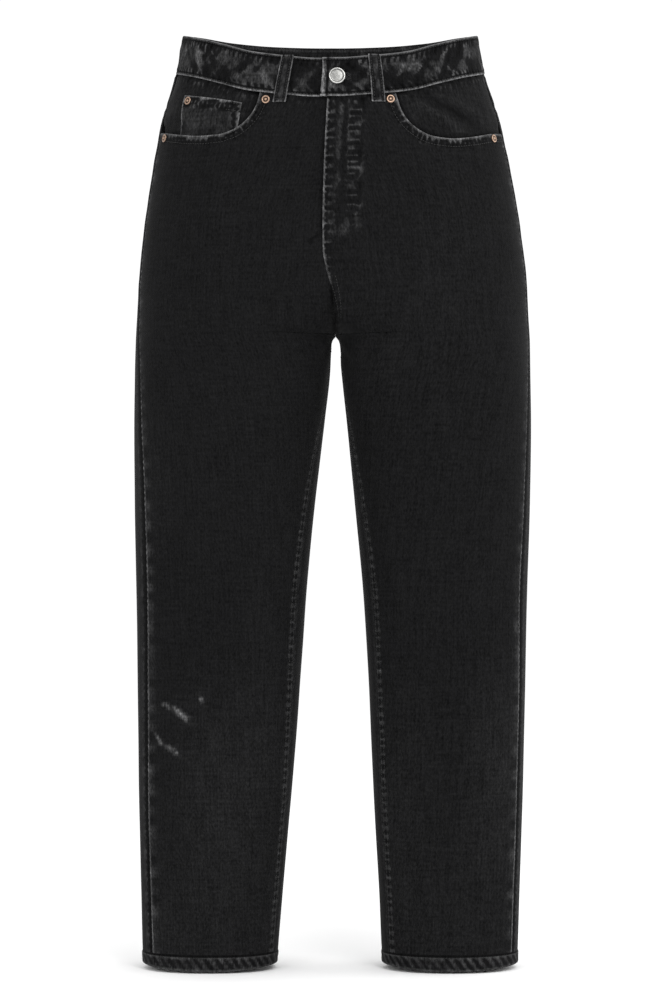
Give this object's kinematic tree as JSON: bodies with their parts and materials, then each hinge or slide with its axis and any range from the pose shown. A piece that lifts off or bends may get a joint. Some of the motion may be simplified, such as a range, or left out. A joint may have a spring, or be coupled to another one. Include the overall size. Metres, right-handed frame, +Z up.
{
  "type": "straight jeans",
  "caption": "High-rise straight-leg denim jeans with a lapped fly, front and back pockets, belt loops and stitched hems, filled out as worn and hollow.",
  "frame": {"origin": "middle of the waist, where the wearer's waist holds the jeans up", "axes": "+Z up along the body, the front faces -Y, the wearer's left is +X"},
  "size_m": [0.412, 0.231, 0.9711],
  "materials": {
    "denim": "washed black denim twill, faded at edges",
    "steel": "plain polished jeans button",
    "copper": "plain copper rivet caps"
  },
  "bodies": {
    "root": {"front_right": "denim", "front_left": "denim", "back_right": "denim", "back_left": "denim", "yoke_right": "denim", "yoke_left": "denim", "waistband": "denim", "fly_facing": "denim", "pocket_facing_right": "denim", "pocket_facing_left": "denim", "coin_pocket": "denim", "back_pocket_right": "denim", "back_pocket_left": "denim", "belt_loop_front_right": "denim", "belt_loop_front_left": "denim", "belt_loop_side_right": "denim", "belt_loop_side_left": "denim", "belt_loop_back": "denim", "hem_right": "denim", "hem_left": "denim", "button": "steel", "rivet_right_inner": "copper", "rivet_right_outer": "copper", "rivet_left_inner": "copper", "rivet_left_outer": "copper", "rivet_coin_pocket": "copper"}
  },
  "joints": []
}
